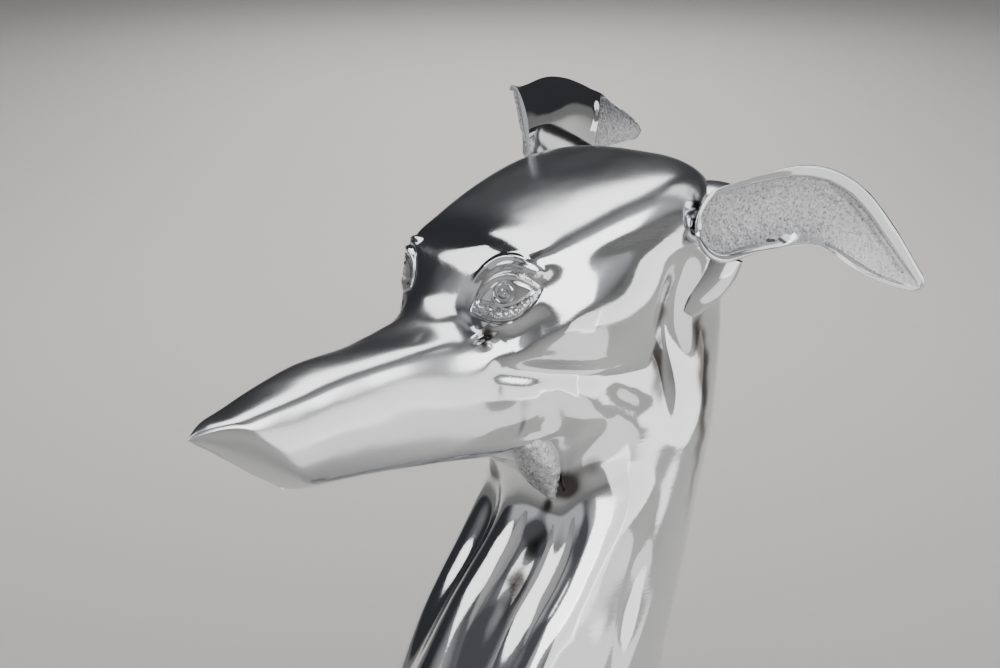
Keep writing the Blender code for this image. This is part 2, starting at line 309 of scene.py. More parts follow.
@dataclass(frozen=True)
class Eye:
    """An almond eye carved in relief, drawn on a flat sheet that faces outwards at its middle.

    On the sheet, a runs from the front corner to the back one and b runs up. The lids fill the
    space between the outer almond and the opening, and the ball is a dome inside the opening.
    """

    middle: Point = (20.6, 23.6, 169.4)
    facing: Point = (0.80, 0.52, 0.25)
    backwards: Point = (-13.2, 16.4, 7.0)
    lids: Almond = Almond((-0.2, -0.9), 0.0, 11.2, 7.8, 6.3)
    opening: Almond = Almond((0.5, -0.3), -0.09, 9.3, 5.1, 3.3)
    lid_height: float = 1.7
    lid_line: Pair = (0.45, 0.55)
    ball_height: float = 2.2
    ball_line: Pair = (0.55, 0.35)
    iris: Pair = (0.2, 0.9)
    iris_radius: float = 3.0
    iris_depth: float = 0.28
    iris_rings: tuple[Point, ...] = ((3.0, 0.34, 0.50), (1.45, 0.38, 0.40))
    pupil: tuple[tuple[Pair, float, float], ...] = (((-0.25, 0.2), 0.75, 0.30), ((0.35, -0.15), 0.42, -0.55))
    hatch_spacing: float = 1.15
    hatch_depth: float = 0.55
    right_shift: float = 4.0
    folds: tuple[Stroke, ...] = (
        Stroke(
            ((-9.5, 6.8), (-5.5, 9.8), (1.5, 12.0), (8.5, 9.6), (13.2, 3.2)), (0.1, 1.1, 1.5, 1.4, 0.4), 1.15
        ),
        Stroke(((-5.0, 8.2), (0.5, 9.7), (6.5, 8.3), (11.3, 3.6)), (0.1, 0.9, 1.1, 0.8), 0.85),
        Stroke(((-1.0, 8.4), (4.0, 8.0), (9.0, 5.2)), (-0.3, -0.6, -0.3), 0.5),
        Stroke(((-9.0, -7.6), (-3.0, -9.0), (3.0, -8.6)), (0.0, 0.5, 0.0), 1.0),
    )
    tear_hollow: Stroke = Stroke(((-10.4, -7.8), (-9.6, -9.6), (-9.0, -11.8)), (-0.8, -2.4, -0.8), 3.0)

    def sheet(self, points: Array) -> tuple[Array, Array, Array]:
        """The coordinates of each place on the sheet.

        Args:
            points: Places on the left side of the head.

        Returns:
            The coordinates a and b, and how far the place stands in front of the sheet.
        """
        facing = unit(np.array(self.facing))
        backwards = np.array(self.backwards)
        backwards = unit(backwards - (backwards @ facing) * facing)
        upwards = np.cross(facing, backwards)
        away = points - np.array(self.middle)
        return away @ backwards, away @ upwards, away @ facing

    def lift(self, points: Array) -> Array:
        """The relief's height on the head, fainter at the front of the right side.

        Args:
            points: Places on the head.

        Returns:
            One height for each place, zero away from both eyes.
        """
        a, b, depth = self.sheet(fold(points))
        near = (depth > -16) & (np.abs(a) < 22) & (np.abs(b) < 20)
        height = np.zeros(points.shape[:-1])
        sheet = np.stack((a, b), axis=-1)[near]
        folds = sum(crease.lift(sheet) for crease in self.folds)
        right = points[..., 1][near] < 0
        folds *= np.where(right, ramp(3.0, 9.0, sheet[..., 0]), 1.0)
        relief = self.relief(sheet[..., 0] - self.right_shift * right, sheet[..., 1])
        relief *= np.where(right, 0.25 + 0.75 * ramp(-2.0, 7.0, sheet[..., 0]), 1.0)
        height[near] = relief + folds + self.tear_hollow.lift(sheet) * np.where(right, 0.4, 1.0)
        return height

    def relief(self, a: Array, b: Array) -> Array:
        """The height of ball and lids: rounded bands that step down to a domed ball with an iris.

        Args:
            a: Place along the sheet, towards the back corner.
            b: Place up the sheet.

        Returns:
            One height for each place.
        """
        inside_lids = self.lids.depth(a, b)
        inside = self.opening.depth(a, b)
        across = np.clip(-inside / np.maximum(inside_lids - inside, 0.3), 0, 1)
        lid = self.lid_height * (0.6 + 0.4 * np.sin(math.pi * across))
        lower = ramp(0.5, -1.0, b - self.opening.centre[1] - self.opening.tilt * a)
        stroke = np.abs(np.sin(math.pi * (a + 0.55 * b + 0.35 * np.sin(1.9 * a)) / self.hatch_spacing))
        lid -= self.hatch_depth * stroke**3 * lower * ramp(0.0, 0.25, across) * ramp(1.0, 0.8, across)
        lid *= ramp(-0.45, 0.55, inside_lids)
        lid -= self.lid_line[0] * bell(inside_lids + 0.7, self.lid_line[1])
        ball = self.ball_height * (1 - 0.5 * self.opening.share(a) ** 2 - ((b - 0.7) / 7.5) ** 2)
        ball -= self.ball_line[0] * bell(inside - 0.25, self.ball_line[1])
        height = lid + (ball - lid) * ramp(-0.3, 0.25, inside)
        radius = np.hypot(a - self.iris[0], b - self.iris[1])
        carved = ramp(-0.2, 0.5, inside)
        for ring, width, depth in self.iris_rings:
            height -= depth * bell(radius - ring, width) * carved
        height -= self.iris_depth * (1 - ramp(self.iris_radius - 0.8, self.iris_radius, radius)) * carved
        for (over, up), width, rise in self.pupil:
            height += rise * bell(np.hypot(a - self.iris[0] - over, b - self.iris[1] - up), width)
        return height


@dataclass(frozen=True)
class Section:
    """One cross-section of the head or neck.

    Attributes:
        top: Upper end on the middle plane, as (x, z).
        under: Lower end on the middle plane, as (x, z).
        half_widths: Half-widths at the crown, temple, cheek, jaw and floor, from the top down.
    """

    top: Pair
    under: Pair
    half_widths: tuple[float, float, float, float, float]

    HEIGHTS = (0.99, 0.89, 0.50, 0.18, 0.015)

    def ring(self) -> Array:
        """The control points round the section, from its top down the left side and up the right.

        Returns:
            Twelve points, in the plane of the section.
        """
        top = np.array((self.top[0], 0.0, self.top[1]))
        under = np.array((self.under[0], 0.0, self.under[1]))
        left = [
            under + (top - under) * height + np.array((0.0, width, 0.0))
            for height, width in zip(self.HEIGHTS, self.half_widths)
        ]
        right = [point * (1.0, -1.0, 1.0) for point in reversed(left)]
        return np.array([top, *left, under, *right])


def placed(name: str, data: bpy.types.ID) -> bpy.types.Object:
    """Makes an object of that data and links it to the scene."""
    thing = bpy.data.objects.new(name, data)
    bpy.context.scene.collection.objects.link(thing)
    return thing


def shell(
    name: str, points: Array, skins: dict[str, Array], seam_at_start: bool = False
) -> bpy.types.Object:
    """Makes a closed object from a grid whose columns run round it.

    Args:
        name: Name of the object and its mesh.
        points: Places in drawn millimetres, rows by columns by three.
        skins: For each kind of skin, its share at each place, rows by columns.
        seam_at_start: True where the first ring is pressed flat on the middle plane, so that its
            left and right points are joined into one seam. Otherwise the first ring is filled.

    Returns:
        The new object, linked to the scene.
    """
    rows, columns = points.shape[:2]
    index = np.arange(rows * columns).reshape(rows, columns)
    if seam_at_start:
        column = np.arange(columns)
        index[0] = np.minimum(column, (columns - column) % columns)
    following = np.roll(index, -1, axis=1)
    quads = np.stack((index[:-1], index[1:], following[1:], following[:-1]), axis=-1).reshape(-1, 4)
    faces = quads.tolist()
    if not seam_at_start:
        faces.append(index[0].tolist())
    faces.append(index[-1][::-1].tolist())
    used = np.unique(index)
    order = np.zeros(rows * columns, int)
    order[used] = np.arange(len(used))
    faces = [[int(order[corner]) for corner in face] for face in faces]
    flat = points.reshape(-1, 3)[used]
    a, b, c = (flat[order[quads[:, i]]] for i in (0, 1, 2))
    if np.einsum("ij,ij->", a, np.cross(b, c)) < 0:
        faces = [face[::-1] for face in faces]
    mesh = bpy.data.meshes.new(name)
    mesh.from_pydata((flat * Casting.scale).tolist(), [], faces)
    for skin, shares in skins.items():
        values = shares.ravel()[used].astype(np.float32)
        mesh.attributes.new(skin, "FLOAT", "POINT").data.foreach_set("value", values)
    mesh.shade_smooth()
    mesh.set_sharp_from_angle(angle=math.radians(60))
    mesh.update()
    return placed(name, mesh)


def carried(spine: Array, across: Array, facing: Array, sideways: Array, depth: Array) -> Array:
    """Carries a cross-section along a spine: spine + across * sideways + facing * depth.

    Args:
        spine: A point for each row.
        across: The unit vector across the spine for each row.
        facing: The unit vector that the section faces for each row.
        sideways: Distance along across, rows by columns.
        depth: Distance along facing, rows by columns.

    Returns:
        The grid of places, rows by columns by three.
    """
    return spine[:, None] + across[:, None] * sideways[..., None] + facing[:, None] * depth[..., None]


def normals_of(points: Array) -> Array:
    """Outward normals of a grid that is closed along its columns, from central differences.

    Args:
        points: The grid, rows by columns by three.

    Returns:
        Unit vectors in a grid of the same shape.
    """
    along = np.gradient(points, axis=0)
    around = np.roll(points, -1, axis=1) - np.roll(points, 1, axis=1)
    return unit(np.cross(around, along))


class Casting:
    """What every form of the casting shares: its scale, the polishing waves and the grain."""

    scale: float = 1.0 / METRE
    POLISHED = (Ripple(0.50, 42.0, 10), Ripple(0.09, 22.0, 11))
    RIPPLED = Ripple(0.012, 8.0, 12)
    SANDED = (Ripple(0.10, 4.5, 21), Ripple(0.07, 2.1, 22))

    @classmethod
    def wobble(cls, points: Array) -> Array:
        """Low waves left by the polishing wheel, smaller on the crown and on the neck.

        Args:
            points: Places on the casting.

        Returns:
            One height for each place.
        """
        height = points[..., 2]
        calm = 1 - 0.65 * ramp(172.0, 190.0, height) - 0.5 * ramp(118.0, 96.0, height)
        return sum(ripple.at(points) for ripple in cls.POLISHED) * calm + cls.RIPPLED.at(points)

    @classmethod
    def grain(cls, points: Array) -> Array:
        """Lumps and pits of skin that isn't polished."""
        return sum(ripple.at(points) for ripple in cls.SANDED)


# Large ridges and grooves of the head and neck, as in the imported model.
RIDGES: dict[str, Stroke] = {
    "brow": Stroke(((27.0, 20.0, 172.0), (18.0, 26.0, 181.0), (4.0, 34.0, 182.0)), (0.0, 2.5, 0.0), 6.0),
    "eye_socket": Stroke(
        ((29.0, 17.0, 164.0), (20.5, 24.0, 170.0), (10.0, 33.0, 171.0)), (-1.5, -2.5, -1.0), 8.0
    ),
    "under_eye": Stroke(
        ((31.0, 19.5, 158.0), (22.0, 27.0, 156.0), (12.0, 32.0, 157.0)), (-1.0, -2.5, -1.0), 7.0
    ),
    "cheekbone": Stroke(
        ((20.0, 28.0, 161.0), (-6.0, 37.0, 160.0), (-32.0, 37.0, 162.0)), (0.0, 3.0, 1.5), 11.0
    ),
    "under_cheekbone": Stroke(
        ((22.0, 26.0, 146.0), (-4.0, 33.0, 142.5), (-34.0, 32.0, 138.0)), (-1.0, -2.0, -1.0), 6.0
    ),
    "jaw_muscle": Stroke(
        ((8.0, 27.0, 131.0), (-8.0, 28.0, 127.0), (-22.0, 30.0, 129.0)), (1.0, 3.5, 1.5), 11.0
    ),
    "jaw_edge": Stroke(
        ((76.0, 11.5, 116.5), (34.0, 19.0, 116.5), (9.0, 23.5, 118.0), (-4.0, 26.0, 123.0)),
        (0.5, 1.2, 2.0, 0.0), 3.5,
    ),
    "behind_cheek": Stroke(
        ((-43.0, 39.0, 168.0), (-46.0, 34.0, 150.0), (-57.0, 30.0, 131.0), (-50.0, 30.0, 112.0)),
        (-2.0, -4.5, -3.0, 0.0), 8.0,
    ),
    "ear_stem": Stroke(
        ((-56.0, 38.0, 184.0), (-60.0, 36.0, 168.0), (-60.0, 33.0, 156.0)), (2.0, 5.0, 1.0), 10.0
    ),
    "windpipe": Stroke(
        ((-3.0, 0.0, 94.0), (10.0, 0.0, 74.0), (28.0, 0.0, 50.0), (40.0, 0.0, 20.0)),
        (1.0, 2.0, 2.0, 1.0), 11.0,
    ),
    "windpipe_groove": Stroke(
        ((-12.0, 13.0, 100.0), (-5.0, 16.0, 84.0), (7.0, 17.0, 69.0), (22.0, 16.0, 48.0),
         (34.0, 18.0, 20.0)),
        (-2.0, -4.0, -4.0, -3.0, 0.0), 8.0,
    ),
    "neck_muscle": Stroke(
        ((-34.0, 30.0, 104.0), (-28.0, 30.0, 92.0), (-14.0, 29.0, 78.0), (-1.0, 28.0, 64.0),
         (12.0, 27.0, 49.0), (24.0, 28.0, 24.0)),
        (0.0, 2.0, 3.0, 3.0, 2.5, 0.0), 10.0,
    ),
}

# Smaller ones, carved after them.
CREASES: dict[str, Stroke] = {
    "cheek_crease": Stroke(
        ((27.0, 24.5, 146.5), (20.0, 27.0, 145.0), (-3.0, 34.0, 142.5), (-24.0, 35.0, 139.5),
         (-34.0, 33.0, 137.0)),
        (0.0, -1.0, -1.3, -1.1, 0.0), 3.2,
    ),
    "cheek_fold": Stroke(
        ((18.0, 27.5, 149.5), (-2.0, 35.0, 146.8), (-24.0, 36.0, 143.5)), (0.2, 0.9, 0.2), 2.6
    ),
    "leaf_hollow": Stroke(
        ((21.0, 27.0, 154.5), (15.5, 30.5, 159.5), (9.5, 34.0, 164.0)), (-0.4, -1.9, -0.3), 3.6
    ),
    "leaf_edge": Stroke(((18.0, 29.5, 150.5), (9.0, 33.5, 155.0), (1.0, 36.5, 161.0)), (0.2, 1.1, 0.2), 2.8),
    "jaw_hollow": Stroke(
        ((6.0, 29.0, 138.0), (2.0, 29.0, 130.0), (5.0, 26.0, 124.0)), (-0.4, -1.8, -0.4), 4.5
    ),
    "jaw_facet": Stroke(
        ((-12.0, 32.0, 135.0), (-22.0, 32.0, 131.0), (-33.0, 31.0, 125.0)), (-0.3, -1.7, -0.4), 4.5
    ),
    "behind_ear_line": Stroke(
        ((-47.0, 38.0, 168.0), (-50.0, 35.0, 152.0), (-60.0, 31.0, 133.0)), (-0.6, -2.4, -0.4), 4.0
    ),
    "temple_line": Stroke(
        ((2.0, 37.0, 175.0), (-16.0, 40.0, 180.0), (-38.0, 41.0, 186.0)), (-0.2, -0.9, -0.3), 4.5
    ),
    "neck_line": Stroke(
        ((-50.0, 31.0, 110.0), (-38.0, 33.0, 82.0), (-24.0, 34.0, 55.0), (-12.0, 35.0, 25.0)),
        (0.0, -1.6, -1.8, 0.0), 5.0,
    ),
}

# Hollows and the neck's edge where shade and dark reflections are painted into the colour,
# with the painted share as the lift.
PAINTED_SHADE_STROKES: dict[str, Stroke] = {
    "tear": Stroke(((25.0, 20.5, 159.0), (24.2, 19.8, 155.5)), (0.9, 0.9), 2.2),
    "jaw": Stroke(((14.1, 27.0, 136.0), (14.1, 25.5, 130.0), (13.0, 22.7, 123.5)), (0.3, 0.5, 0.3), 3.0),
    "behind_cheek": Stroke(
        ((-42.0, 37.0, 167.0), (-44.0, 31.5, 153.0), (-40.0, 31.0, 138.0), (-43.0, 30.0, 122.0)),
        (0.5, 0.9, 0.7, 0.2), 3.6,
    ),
    "neck_edge": Stroke(
        ((-61.0, 30.0, 150.0), (-68.0, 27.0, 133.0), (-68.0, 26.5, 117.0), (-67.0, 26.0, 103.0),
         (-62.5, 26.0, 87.0), (-57.5, 26.7, 74.0)),
        (0.5, 0.65, 0.5, 0.4, 0.35, 0.1), 4.6,
    ),
    "ear_front": Stroke(
        ((-48.0, 38.0, 196.0), (-49.0, 39.0, 190.0), (-49.0, 39.2, 183.0)), (0.4, 0.8, 0.5), 2.6
    ),
    "throat": Stroke(
        ((8.0, 19.0, 112.0), (-1.0, 13.0, 100.0), (-12.0, 16.0, 98.0), (-18.0, 23.0, 107.0)),
        (0.6, 1.0, 0.9, 0.4), 5.5,
    ),
    "windpipe_groove": Stroke(
        ((-9.0, 12.0, 92.0), (-5.0, 12.0, 82.0), (4.0, 12.5, 70.0), (16.0, 12.5, 54.0)),
        (0.8, 0.8, 0.6, 0.1), 3.2,
    ),
}


@dataclass
class HeadAndNeck:
    """The head and neck as one smooth surface over a fan of cross-sections round the throat.

    The rows are cross-sections from the front of the nose to the flat underside, and the columns run
    round them. The strokes and the eyes are then carved along the surface's normals.
    """

    rows: int = 290
    columns: int = 336
    eye_row: float = 9.6
    eye_column: float = 1.45
    sections: tuple[Section, ...] = (
        Section((123.5, 138.0), (88.5, 116.0), (0.0, 0.0, 0.0, 0.0, 0.0)),
        Section((121.5, 139.5), (87.0, 115.5), (2.0, 3.2, 3.4, 3.2, 2.0)),
        Section((117.5, 142.0), (84.0, 115.0), (4.5, 7.0, 7.5, 7.0, 4.5)),
        Section((113.0, 143.5), (81.0, 115.0), (6.5, 10.5, 11.0, 10.0, 6.0)),
        Section((109.0, 144.5), (79.0, 115.0), (7.0, 10.5, 11.5, 10.2, 6.5)),
        Section((92.0, 148.0), (72.0, 115.0), (8.0, 12.0, 13.2, 11.3, 8.0)),
        Section((74.0, 152.0), (58.0, 115.0), (9.5, 14.0, 15.5, 13.0, 10.0)),
        Section((52.0, 155.5), (41.0, 115.0), (11.0, 16.5, 18.5, 16.0, 12.0)),
        Section((34.0, 158.0), (26.0, 115.0), (13.0, 19.0, 22.0, 19.0, 14.0)),
        Section((25.5, 164.0), (14.0, 113.0), (17.0, 25.0, 27.0, 23.0, 16.0)),
        Section((18.5, 182.0), (3.0, 110.0), (24.0, 31.5, 31.0, 25.0, 16.0)),
        Section((0.0, 190.0), (-4.0, 107.0), (27.0, 35.5, 36.0, 27.0, 16.0)),
        Section((-24.0, 199.5), (-7.0, 103.5), (29.0, 39.5, 37.0, 28.0, 16.0)),
        Section((-50.0, 205.5), (-8.0, 100.0), (32.0, 43.5, 36.0, 28.0, 16.0)),
        Section((-71.5, 203.5), (-8.0, 96.0), (25.0, 38.0, 34.0, 28.0, 16.0)),
        Section((-88.0, 176.0), (-7.0, 91.0), (14.0, 26.0, 32.0, 28.0, 15.5)),
        Section((-92.0, 140.0), (-4.0, 85.0), (11.0, 24.0, 32.0, 28.0, 15.5)),
        Section((-86.5, 106.0), (1.5, 78.0), (11.0, 24.0, 32.5, 28.5, 15.5)),
        Section((-76.5, 73.0), (10.0, 68.0), (12.0, 25.0, 34.0, 29.5, 16.0)),
        Section((-64.5, 43.0), (21.5, 54.0), (14.0, 28.0, 36.0, 31.0, 17.0)),
        Section((-55.5, 18.0), (35.5, 32.0), (16.0, 30.0, 38.0, 33.0, 18.0)),
        Section((-50.0, 0.0), (50.0, 0.0), (18.0, 33.0, 40.0, 35.0, 19.0)),
    )
    eye: Eye = field(default_factory=Eye)
    base_fade: float = 20.0
    nose_fade: Pair = (122.5, 108.0)
    uneven_edge: tuple[Ripple, ...] = tuple(Ripple(0.8, 9.0, seed) for seed in (31, 32, 33))

    def row_places(self) -> Array:
        """Where the rows stand along the sections, crowded at the eyes."""
        last = len(self.sections) - 1
        return uneven_places(last, self.rows, ((self.eye_row, 1.0, 3.2), (2.0, 2.5, 0.6)))

    def column_places(self) -> Array:
        """Where the columns stand round the ring, crowded at both eyes."""
        ring = len(self.sections[0].ring())
        crowds = ((self.eye_column, 1.1, 1.5), (ring - self.eye_column, 1.1, 1.5))
        return uneven_places(ring, self.columns + 1, crowds)[:-1]

    def points(self) -> Array:
        """The carved surface, smooth(u, v) + normal * lift and then the same for the fine relief.

        Returns:
            A grid of places in drawn millimetres, rows by columns by three.
        """
        cage = np.array([section.ring() for section in self.sections])
        along = spline_weights(len(cage), self.row_places(), closed=False)
        around = spline_weights(cage.shape[1], self.column_places(), closed=True)
        smooth = np.einsum("ri,ijk,cj->rck", along, cage, around)
        fade = np.clip(smooth[..., 2] / self.base_fade, 0.0, 1.0)
        lift = sum(stroke.lift(fold(smooth)) for stroke in RIDGES.values()) * fade
        carved = smooth + normals_of(smooth) * lift[..., None]
        fine = sum(stroke.lift(fold(carved)) for stroke in CREASES.values()) * fade
        fine += self.eye.lift(carved)
        fine += Casting.wobble(carved) * fade * ramp(*self.nose_fade, carved[..., 0])
        fine[0] = 0.0
        return carved + normals_of(carved) * fine[..., None]

    def satin(self, points: Array) -> Array:
        """Share of brushed skin: the muzzle above its lower edge, and the crown.

        Args:
            points: Places on the surface.

        Returns:
            One share for each place.
        """
        x, z = points[..., 0], points[..., 2]
        muzzle = ramp(24.0, 34.0, x) * ramp(118.0, 124.0, z)
        crown = ramp(14.0, -4.0, x) * ramp(178.0, 186.0, z + 0.20 * x)
        return np.clip(muzzle + crown, 0, 1)

    def painted_shade(self, points: Array) -> Array:
        """Share of painted shade and dark reflections, in the hollows and on the neck's edge, with an uneven
        rim.

        Args:
            points: Places on the surface.

        Returns:
            One share for each place.
        """
        folded = fold(points)
        uneven = folded + np.stack([ripple.at(folded) for ripple in self.uneven_edge], axis=-1)
        return np.max([ramp(0.15, 0.55, hollow.lift(uneven)) for hollow in PAINTED_SHADE_STROKES.values()], axis=0)

    def build(self) -> bpy.types.Object:
        """Makes the piece."""
        points = self.points()
        skins = {SATIN: self.satin(points), PAINTED_SHADE: self.painted_shade(points)}
        return shell("head_and_neck", points, skins, seam_at_start=True)


class FrontEnd(Enum):
    """How an ear ends at the front."""

    ROUND = "round"
    CUT = "cut"


@dataclass
class Ear:
    """A spoon-shaped ear: a channel with thick rims, carried along a spine from its front to its tip.

    Where a place stands the share x of the half-width w from the spine, the channel's two skins stand
    at h (1 - |x|^n)^(1/n) before and behind the curve -c (1 - x^2), where h is the half-depth and c the
    cupping there. The hollow is sunk inside the rims and keeps its cast skin.
    """

    side: Side
    front_end: FrontEnd
    spine: tuple[Point, ...]
    facing: tuple[Point, ...]
    half_widths: tuple[float, ...]
    half_depths: tuple[float, ...]
    cupping: tuple[float, ...]
    squareness: float = 2.6
    end_radius: float = 11.0
    tip_radius: float = 3.0
    rims: Pair = (4.4, 2.6)
    rim_shares: tuple[float, ...] = (0.45, 0.6, 0.9, 1.0, 0.8, 0.6)
    sinking: float = 1.5
    line: Point = (2.6, 0.55, 0.7)
    tip_disc: bool = False
    disc: Point = (0.86, 0.19, 0.9)
    rows: int = 240
    columns: int = 150

    def points(self) -> tuple[Array, Array]:
        """The surface, and its skin.

        Returns:
            A grid of places in drawn millimetres, and the share of cast skin at each.
        """
        count = len(self.spine)
        places = uneven_places(count - 1, self.rows, ((0.0, 0.6, 3.0), (count - 1, 0.3, 4.0)))
        along = spline_weights(count, places, closed=False)
        spine = along @ np.array(self.spine)
        length = np.concatenate(([0.0], np.cumsum(np.linalg.norm(np.diff(spine, axis=0), axis=1))))
        to_tip = length[-1] - length
        heading = unit(np.gradient(spine, axis=0))
        across = unit(np.cross(heading, along @ np.array(self.facing)))
        across *= np.where(across[:, 2:] < 0, -1.0, 1.0)
        facing = unit(along @ np.array(self.facing))
        rounding = self.rounded(to_tip, self.tip_radius)
        if self.front_end is FrontEnd.ROUND:
            rounding *= self.rounded(length, self.end_radius)
        half_width = along @ np.array(self.half_widths) * rounding
        half_depth = along @ np.array(self.half_depths) * np.sqrt(rounding)
        cupping = along @ np.array(self.cupping)
        turn = np.arange(self.columns) * math.tau / self.columns
        share = np.cos(turn)
        skin = np.sign(np.sin(turn)) * (1 - np.abs(share) ** self.squareness) ** (1 / self.squareness)
        skin *= np.where(share > 0, 1.0, 0.62 + 0.38 * (1 - np.abs(share)))
        sideways = np.outer(half_width, share)
        depth = np.outer(half_depth, skin) - np.outer(cupping, 1 - share**2)
        from_edge = half_width[:, None] - np.abs(sideways)
        ends = to_tip if self.front_end is FrontEnd.CUT else np.minimum(length, to_tip)
        from_edge = np.minimum(from_edge, ends[:, None])
        front = (np.sin(turn) > 1e-6)[None, :]
        gone = (length / length[-1])[:, None]
        rim = np.interp(gone, np.linspace(0, 1, len(self.rim_shares)), self.rim_shares)
        rim = rim * np.where(share > 0, *self.rims)[None, :]
        inside = ramp(-0.5, 0.6, from_edge - rim) * front
        depth = depth - self.sinking * inside * ramp(1.0, 0.85, gone)
        inset, line_width, line_depth = self.line
        line = bell(from_edge - rim - inset, line_width) * (share > 0)[None, :] * front
        depth = depth - line_depth * line * ramp(0.42, 0.60, gone) * ramp(0.99, 0.9, gone)
        as_cast = inside * (1 - 0.3 * ramp(0.5, 0.8, gone))
        if self.tip_disc:
            middle, half_length, raised = self.disc
            beyond = np.hypot((gone - middle) / half_length, (share[None, :] + 0.05) * 0.9)
            back = (np.sin(turn) < -1e-6)[None, :] * ramp(0.55, 0.62, gone)
            disc = ramp(1.02, 0.94, beyond) * back
            disc = np.maximum(disc, ramp(middle, 0.9, gone) * back)
            trough = bell(beyond - 1.13, 0.09) * back * ramp(0.9, 0.84, gone)
            depth = depth + raised * disc - raised * trough
            as_cast = np.maximum(as_cast, 0.8 * disc)
        points = carried(spine, across, facing, sideways, depth)
        rough = as_cast * (1 - 0.75 * ramp(0.45, 0.8, gone))
        fine = Casting.wobble(points) * (1 - as_cast) + Casting.grain(points) * rough
        return points + normals_of(points) * fine[..., None], as_cast

    @staticmethod
    def rounded(distance: Array, radius: float) -> Array:
        """The share of full width at a distance from an end that is rounded with a radius.

        Args:
            distance: Distances from the end.
            radius: Radius of the end.

        Returns:
            The height of a quarter circle, from about zero at the end to one at the radius.
        """
        return np.sqrt(np.clip(1 - (1 - np.minimum(distance / radius, 1)) ** 2, 0.0004, 1))

    def build(self) -> bpy.types.Object:
        """Makes the piece."""
        points, as_cast = self.points()
        return shell(f"{self.side.name.lower()}_ear", points, {AS_CAST: as_cast})


@dataclass
class Lump:
    """A tapering lump along a curve, oval in section: an ear's root, or the tuft under the jaw."""

    name: str
    spine: tuple[Point, ...]
    facing: Point
    half_widths: tuple[float, ...]
    half_depths: tuple[float, ...]
    as_cast: float = 0.0
    satin: float = 0.0
    # Share of shade painted into the lump's colour.
    painted_shade: float = 0.0
    roughness: float = 1.6
    rows: int = 90
    columns: int = 72

    def points(self) -> Array:
        """The surface, an ellipse (w cos v, d sin v) carried along the spine.

        Returns:
            A grid of places in drawn millimetres, rows by columns by three.
        """
        count = len(self.spine)
        places = uneven_places(count - 1, self.rows, ((0.0, 0.3, 2.0), (count - 1, 0.3, 2.0)))
        along = spline_weights(count, places, closed=False)
        spine = along @ np.array(self.spine)
        heading = unit(np.gradient(spine, axis=0))
        across = unit(np.cross(heading, np.array(self.facing)))
        facing = np.cross(across, heading)
        turn = np.arange(self.columns) * math.tau / self.columns
        sideways = np.outer(along @ np.array(self.half_widths), np.cos(turn))
        depth = np.outer(along @ np.array(self.half_depths), np.sin(turn))
        points = carried(spine, across, facing, sideways, depth)
        fine = Casting.wobble(points) * (1 - self.as_cast)
        fine += self.roughness * Casting.grain(points) * self.as_cast
        return points + normals_of(points) * fine[..., None]

    def build(self) -> bpy.types.Object:
        """Makes the piece."""
        points = self.points()
        even = np.ones(points.shape[:2])
        skins = {AS_CAST: self.as_cast, SATIN: self.satin, PAINTED_SHADE: self.painted_shade}
        return shell(self.name, points, {skin: even * share for skin, share in skins.items()})


class Tree:
    """The shader nodes of one material, or of the world."""

    def __init__(self, owner: bpy.types.Material | bpy.types.World, shader: str) -> None:
        """Turns on the owner's nodes.

        Args:
            owner: The material or the world.
            shader: Name of its shader node.
        """
        owner.use_nodes = True
        self.nodes = owner.node_tree.nodes
        self.links = owner.node_tree.links
        self.shader = self.nodes[shader]

    def add(self, kind: str, settings: dict | None = None, **inputs: object) -> bpy.types.Node:
        """Adds a node, sets its properties and fills its sockets.

        Args:
            kind: Blender's name of the node type.
            settings: Properties of the node, by name.
            inputs: Values or sockets, by the socket's name with an underscore for each space, or by
                an underscore and the socket's number.

        Returns:
            The new node.
        """
        node = self.nodes.new(kind)
        for name, value in (settings or {}).items():
            setattr(node, name, value)
        for name, value in inputs.items():
            number = name.removeprefix("_")
            socket = node.inputs[int(number) if number.isdigit() else name.replace("_", " ")]
            if isinstance(value, bpy.types.NodeSocket):
                self.links.new(value, socket)
            else:
                socket.default_value = value
        return node

    def shades(self, share: bpy.types.NodeSocket, ends: Pair, hex_codes: tuple[str, str]) -> bpy.types.Node:
        """Adds a ramp between two colours.

        Args:
            share: What picks the place on the ramp.
            ends: The places at which the first and the second colour are full.
            hex_codes: The two sRGB colours.

        Returns:
            The new node.
        """
        node = self.add("ShaderNodeValToRGB", Fac=share)
        for element, end, hex_code in zip(node.color_ramp.elements, ends, hex_codes):
            element.position = end
            element.color = linear_colour(hex_code)
        return node

    def plug(self, name: str, socket: bpy.types.NodeSocket) -> None:
        """Links a socket to the shader's socket of that name."""
        self.links.new(socket, self.shader.inputs[name])


